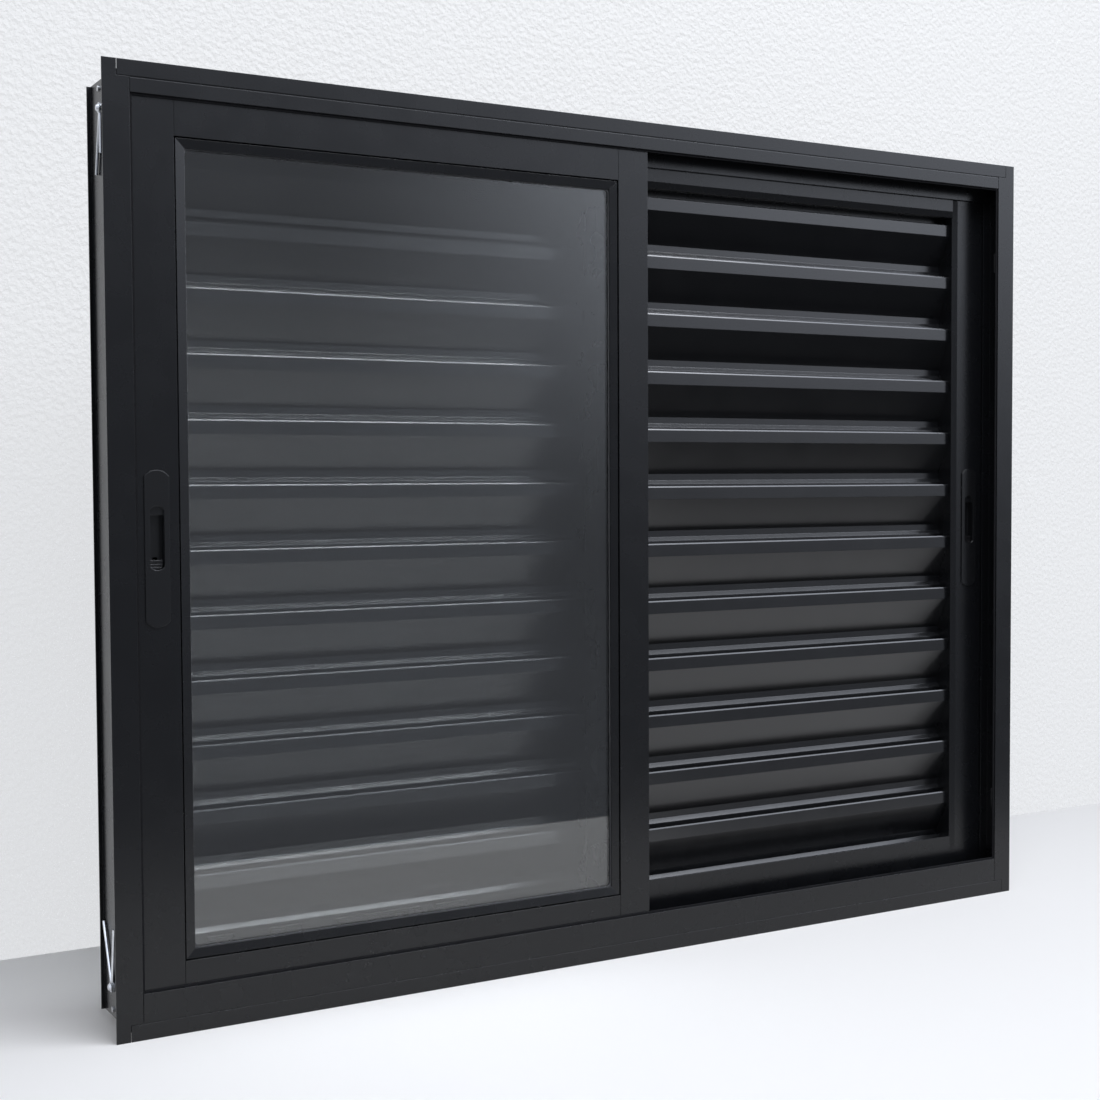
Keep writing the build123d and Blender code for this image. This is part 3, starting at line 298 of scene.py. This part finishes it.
class WINDOW_OT_glazed_finish(bpy.types.Operator):
    """Finish the glazed sash: profiles, beads, gasket, pane and running gear"""

    bl_idname = "louvred_window.glazed_finish"
    bl_label = "Glazed sash finish"

    def execute(self, context):
        values = context.scene.window_finish
        body = profile_coat("glazed_coat", values)
        give(body, "glass_lock_stile", "glass_meeting_stile", "glass_top_rail", "glass_bottom_rail",
             "bead_left", "bead_right", "bead_top", "bead_bottom")
        give(plastic("gasket_rubber", (0.060, 0.061, 0.065), 0.6, 800.0, 0.3), "glass_gasket")
        give(plastic("block_rubber", (0.02, 0.02, 0.021), 0.8, 700.0, 0.4), "setting_blocks")
        give(float_glass("pane_glass", tuple(values.glass_tint)), "glass_pane")
        give(pile("glazed_pile", (0.006, 0.006, 0.007)), "glass_brushes")
        running_finish("glass")
        return {"FINISHED"}


class WINDOW_OT_louvred_finish(bpy.types.Operator):
    """Finish the sliding louvred sash"""

    bl_idname = "louvred_window.louvred_finish"
    bl_label = "Louvred sash finish"

    def execute(self, context):
        values = context.scene.window_finish
        body = profile_coat("louvred_coat", values)
        give(body, "louvre_lock_stile", "louvre_meeting_stile",
             "louvre_top_rail", "louvre_bottom_rail")
        slats = coat("slat_coat", tuple(values.slat_colour), values.coat_roughness * 0.92,
                     values.edge_radius, specular=0.56)
        give(slats, "louvre_slats", "fixed_slats")
        give(pile("louvred_pile", (0.006, 0.006, 0.007)), "louvre_brushes")
        running_finish("louvre")
        return {"FINISHED"}


class WINDOW_OT_fixed_finish(bpy.types.Operator):
    """Finish the fixed louvred sash on the outside"""

    bl_idname = "louvred_window.fixed_finish"
    bl_label = "Fixed sash finish"

    def execute(self, context):
        values = context.scene.window_finish
        body = profile_coat("fixed_coat", values)
        give(body, "fixed_lock_stile", "fixed_meeting_stile", "fixed_top_rail", "fixed_bottom_rail")
        return {"FINISHED"}


def running_finish(sash):
    """Nylon, steel and brushed parts that a sliding sash runs on."""
    nylon = plastic(f"{sash}_nylon", (0.045, 0.045, 0.047), 0.45, 600.0, 0.25)
    give(nylon, f"{sash}_roller_carriers", f"{sash}_guides",
         f"{sash}_wheel_left", f"{sash}_wheel_right")
    steel = metal(f"{sash}_steel", (0.50, 0.51, 0.53), 0.3, (1.0, 0.2, 6.0))
    give(steel, f"{sash}_roller_axles", f"{sash}_latch_hook")


class WINDOW_OT_pull_finish(bpy.types.Operator):
    """Finish the flush pulls and their thumb sliders"""

    bl_idname = "louvred_window.pull_finish"
    bl_label = "Flush pull finish"

    def execute(self, context):
        shell = plastic("pull_shell", (0.0062, 0.0065, 0.0074), 0.22, 1400.0, 0.05, 0.0010)
        thumb = plastic("thumb_slider", (0.008, 0.008, 0.009), 0.24, 900.0, 0.10, 0.0010)
        give(shell, "glass_pull_shell", "louvre_pull_shell")
        give(thumb, "glass_latch_slider", "louvre_latch_slider")
        return {"FINISHED"}


# The stage's sides and the wall's top.
STAGE_LEFT, STAGE_RIGHT, STAGE_FRONT, STAGE_BACK, WALL_TOP = -6, 7, -7, 7, 4
# For mirrors: how soft the floor's front edge is, and the notch in its right part.
EDGE_SOFTNESS = 0.01
NOTCH_ACROSS = (0.42, 0.50)
NOTCH_DEEP = (0.26, 0.42)
# For mirrors: the room below and above the horizon, as sines of height and strengths.
ROOM_LOW = (-0.44, -0.28, 0.02, 0.34)
ROOM_HIGH = (0.14, 0.50, 0.0, 1.9)
# The even light on matt surfaces, and the colour of all light from around.
MATT_LIGHT = 0.26
ROOM_COLOUR = (0.84, 0.89, 1.0)
# Each soft light's left and right edge as headings, the sine of its foot and its strength.
SOFT_LIGHTS = (
    (38.0, 110.0, -0.06, 3.7),
    (215.0, 290.0, 0.0, 0.6),
)
# How gently a soft light starts at its left edge, right edge and foot, as sines.
SOFT_LEFT = (-0.28, 0.12)
SOFT_RIGHT = (-0.1, 0.1)
SOFT_FOOT = 0.35


def plane_mesh(name, corners):
    """A flat sheet through four corners."""
    mesh = bpy.data.meshes.new(name)
    mesh.from_pydata(corners, [], [(0, 1, 2, 3)])
    piece = bpy.data.objects.new(name, mesh)
    bpy.context.scene.collection.objects.link(piece)
    return piece


def math_node(tree, operation, first, second):
    """A math node of two inputs, each a link or a number."""
    node = tree.nodes.new("ShaderNodeMath")
    node.operation = operation
    for socket, value in zip(node.inputs, (first, second)):
        if isinstance(value, (int, float)):
            socket.default_value = value
        else:
            tree.links.new(value, socket)
    return node.outputs["Value"]


def has_bounced(tree, kind):
    """1 for a ray that has already left a surface of this kind, also through glass, else 0."""
    light = tree.nodes.new("ShaderNodeLightPath")
    return math_node(tree, "GREATER_THAN", light.outputs[f"{kind} Depth"], 0.5)


def ramp_between(tree, value, start, end, low, high):
    """A value eased from low at start to high at end."""
    node = tree.nodes.new("ShaderNodeMapRange")
    node.interpolation_type = "SMOOTHSTEP"
    for name, number in (("From Min", start), ("From Max", end), ("To Min", low), ("To Max", high)):
        node.inputs[name].default_value = number
    tree.links.new(value, node.inputs["Value"])
    return node.outputs["Result"]


def studio_surface(name, colour, shade, glow, mirror_glow=0.0, bump_scale=None, bump=0.0):
    """A matt surface that the camera and mirrors also see by its own light; to mirrors it glows
    brighter by mirror_glow, a painted reflection.
    """
    material = bpy.data.materials.new(name)
    tree, shader = node_graph(material)
    shader.inputs["Base Color"].default_value = (*(c * shade for c in colour), 1.0)
    shader.inputs["Roughness"].default_value = 0.9
    if bump_scale:
        grain = object_noise(tree, bump_scale, 6.0)
        rough = tree.nodes.new("ShaderNodeBump")
        rough.inputs["Strength"].default_value = bump
        rough.inputs["Distance"].default_value = 0.010
        tree.links.new(grain.outputs["Fac"], rough.inputs["Height"])
        tree.links.new(rough.outputs["Normal"], shader.inputs["Normal"])
    light = tree.nodes.new("ShaderNodeLightPath")
    seen = math_node(tree, "MAXIMUM", light.outputs["Is Camera Ray"],
                     light.outputs["Is Glossy Ray"])
    seen = math_node(tree, "MAXIMUM", seen, light.outputs["Is Transmission Ray"])
    unlit = math_node(tree, "SUBTRACT", 1.0, has_bounced(tree, "Diffuse"))
    direct = math_node(tree, "MULTIPLY", seen, unlit)
    # Painted reflection: mirrors see the surface brighter than the camera does, by mirror_glow.
    extra = math_node(tree, "MULTIPLY", has_bounced(tree, "Glossy"), mirror_glow)
    level = math_node(tree, "MULTIPLY", direct, math_node(tree, "ADD", extra, glow))
    tree.links.new(level, shader.inputs["Emission Strength"])
    shader.inputs["Emission Color"].default_value = (*colour, 1.0)
    material.cycles.emission_sampling = "NONE"
    return material


def lamp(name, place, target, size, power, colour=(0.95, 0.97, 1.0)):
    """A soft rectangular lamp aimed at a point."""
    data = bpy.data.lights.new(name, "AREA")
    data.shape = "RECTANGLE"
    data.size, data.size_y = size
    data.energy = power
    data.color = colour
    item = bpy.data.objects.new(name, data)
    bpy.context.scene.collection.objects.link(item)
    item.location = place
    item.rotation_euler = (Vector(target) - Vector(place)).to_track_quat("-Z", "Y").to_euler()
    return item


def end_for_mirrors(material, front_edge):
    """Let mirrors look past the floor beyond its front edge, as if a table ended there."""
    tree = material.node_tree
    place = tree.nodes.new("ShaderNodeTexCoord")
    parts = tree.nodes.new("ShaderNodeSeparateXYZ")
    tree.links.new(place.outputs["Object"], parts.inputs["Vector"])
    deep, across = parts.outputs["Y"], parts.outputs["X"]
    beyond = ramp_between(tree, deep, front_edge - EDGE_SOFTNESS, front_edge + EDGE_SOFTNESS,
                          1.0, 0.0)
    near, far = (front_edge + distance for distance in NOTCH_DEEP)
    notch = math_node(tree, "MULTIPLY", ramp_between(tree, across, *NOTCH_ACROSS, 0.0, 1.0),
                      ramp_between(tree, deep, near, far, 1.0, 0.0))
    hidden = math_node(tree, "MULTIPLY", math_node(tree, "MAXIMUM", beyond, notch),
                       has_bounced(tree, "Glossy"))
    see_through_where(material, hidden)


def open_behind(material):
    """Let the back of the wall be seen through, so that the window shows from behind too."""
    side = material.node_tree.nodes.new("ShaderNodeNewGeometry")
    see_through_where(material, side.outputs["Backfacing"])


def towards(tree, direction, turn, start, end):
    """Eased from 0 to 1 where a direction lies to the right of a heading, both as sines."""
    side = tree.nodes.new("ShaderNodeVectorMath")
    side.operation = "DOT_PRODUCT"
    side.inputs[1].default_value = (cos(turn), sin(turn), 0.0)
    tree.links.new(direction, side.inputs[0])
    return ramp_between(tree, side.outputs["Value"], start, end, 0.0, 1.0)


def surroundings(world):
    """White to the camera, a soft even light on matt surfaces, and to mirrors a dim room
    with a broad window on the right in front and a smaller one on the left behind."""
    world.use_nodes = True
    world.cycles.sampling_method = "NONE"
    tree = world.node_tree
    background = tree.nodes["Background"]
    place = tree.nodes.new("ShaderNodeTexCoord")
    direction = place.outputs["Generated"]
    parts = tree.nodes.new("ShaderNodeSeparateXYZ")
    tree.links.new(direction, parts.inputs["Vector"])
    height = parts.outputs["Z"]
    room = math_node(tree, "ADD", ramp_between(tree, height, *ROOM_LOW),
                     ramp_between(tree, height, *ROOM_HIGH))
    for left, right, foot, strength in SOFT_LIGHTS:
        glow = math_node(tree, "MULTIPLY", towards(tree, direction, radians(left), *SOFT_LEFT),
                         towards(tree, direction, radians(right + 180), *SOFT_RIGHT))
        rise = ramp_between(tree, height, foot, foot + SOFT_FOOT, 0.0, strength)
        room = math_node(tree, "ADD", room, math_node(tree, "MULTIPLY", glow, rise))
    mirror, matt = has_bounced(tree, "Glossy"), has_bounced(tree, "Diffuse")
    bounced = math_node(tree, "MAXIMUM", mirror, matt)
    dim = math_node(tree, "MULTIPLY", mirror, math_node(tree, "SUBTRACT", room, MATT_LIGHT))
    dim = math_node(tree, "MULTIPLY", math_node(tree, "SUBTRACT", 1.0, matt), dim)
    dim = math_node(tree, "ADD", dim, MATT_LIGHT)
    level = math_node(tree, "ADD", math_node(tree, "MULTIPLY", bounced, dim),
                      math_node(tree, "SUBTRACT", 1.0, bounced))
    tree.links.new(level, background.inputs["Strength"])
    background.inputs["Color"].default_value = (*ROOM_COLOUR, 1.0)


class WINDOW_OT_studio(bpy.types.Operator):
    """Make the camera, the floor, the wall behind, the lamp and the light around"""

    bl_idname = "louvred_window.studio"
    bl_label = "Studio"

    def execute(self, context):
        scene = context.scene
        values = scene.window_studio
        camera = bpy.data.cameras.new("photo_camera")
        camera.sensor_width = 36.0
        camera.lens = values.lens
        item = bpy.data.objects.new("photo_camera", camera)
        scene.collection.objects.link(item)
        item.location = values.camera_place
        turn = Matrix.Rotation(-values.camera_heading, 3, "Z")
        drop = Matrix.Rotation(-values.camera_drop, 3, "X")
        roll = Matrix.Rotation(values.camera_roll, 3, "Y")
        stand = Matrix.Rotation(radians(90), 3, "X")
        item.rotation_euler = (turn @ drop @ roll @ stand).to_euler()
        scene.camera = item

        y_wall = CAD_HIGH.y + values.wall_distance
        floor = plane_mesh("floor", [(STAGE_LEFT, STAGE_FRONT, 0), (STAGE_RIGHT, STAGE_FRONT, 0),
                                     (STAGE_RIGHT, STAGE_BACK, 0), (STAGE_LEFT, STAGE_BACK, 0)])
        # Painted reflection: mirrors see the floor brighter than the camera does.
        paint = studio_surface("floor_paint", tuple(values.floor_colour),
                               shade=0.86, glow=0.16, mirror_glow=0.24)
        end_for_mirrors(paint, values.table_edge)
        floor.data.materials.append(paint)
        wall = plane_mesh("back_wall", [(STAGE_LEFT, y_wall, 0), (STAGE_RIGHT, y_wall, 0),
                                        (STAGE_RIGHT, y_wall, WALL_TOP),
                                        (STAGE_LEFT, y_wall, WALL_TOP)])
        render = studio_surface("wall_render", tuple(values.wall_colour),
                                shade=0.22, glow=0.83, bump_scale=150.0, bump=1.0)
        open_behind(render)
        wall.data.materials.append(render)

        lamp("overhead_lamp", place=(0.3, -1.2, 2.7), target=(0.0, 0.0, 0.5),
             size=(2.8, 1.1), power=84.0)

        world = bpy.data.worlds.new("studio_world")
        surroundings(world)
        scene.world = world
        scene.view_settings.view_transform = "Standard"
        return {"FINISHED"}


class WINDOW_PT_panel(bpy.types.Panel):
    """Lists the window's operators"""

    bl_idname = "WINDOW_PT_panel"
    bl_label = "Louvred window"
    bl_space_type = "VIEW_3D"
    bl_region_type = "UI"
    bl_category = "Window"

    def draw(self, context):
        for operator in OPERATORS:
            self.layout.operator(operator.bl_idname)
        for group in (context.scene.window_finish, context.scene.window_studio):
            for name in group.__annotations__:
                self.layout.prop(group, name)


OPERATORS = (
    WINDOW_OT_frame_finish,
    WINDOW_OT_glazed_finish,
    WINDOW_OT_louvred_finish,
    WINDOW_OT_fixed_finish,
    WINDOW_OT_pull_finish,
    WINDOW_OT_studio,
)
CLASSES = (WindowFinish, WindowStudio, *OPERATORS, WINDOW_PT_panel)


def register():
    for item in CLASSES:
        bpy.utils.register_class(item)
    bpy.types.Scene.window_finish = bpy.props.PointerProperty(type=WindowFinish)
    bpy.types.Scene.window_studio = bpy.props.PointerProperty(type=WindowStudio)


def unregister():
    del bpy.types.Scene.window_studio
    del bpy.types.Scene.window_finish
    for item in reversed(CLASSES):
        bpy.utils.unregister_class(item)


def main():
    register()
    bpy.ops.louvred_window.frame_finish()
    bpy.ops.louvred_window.glazed_finish()
    bpy.ops.louvred_window.louvred_finish()
    bpy.ops.louvred_window.fixed_finish()
    bpy.ops.louvred_window.pull_finish()
    bpy.ops.louvred_window.studio()


if __name__ == "__main__":
    main()
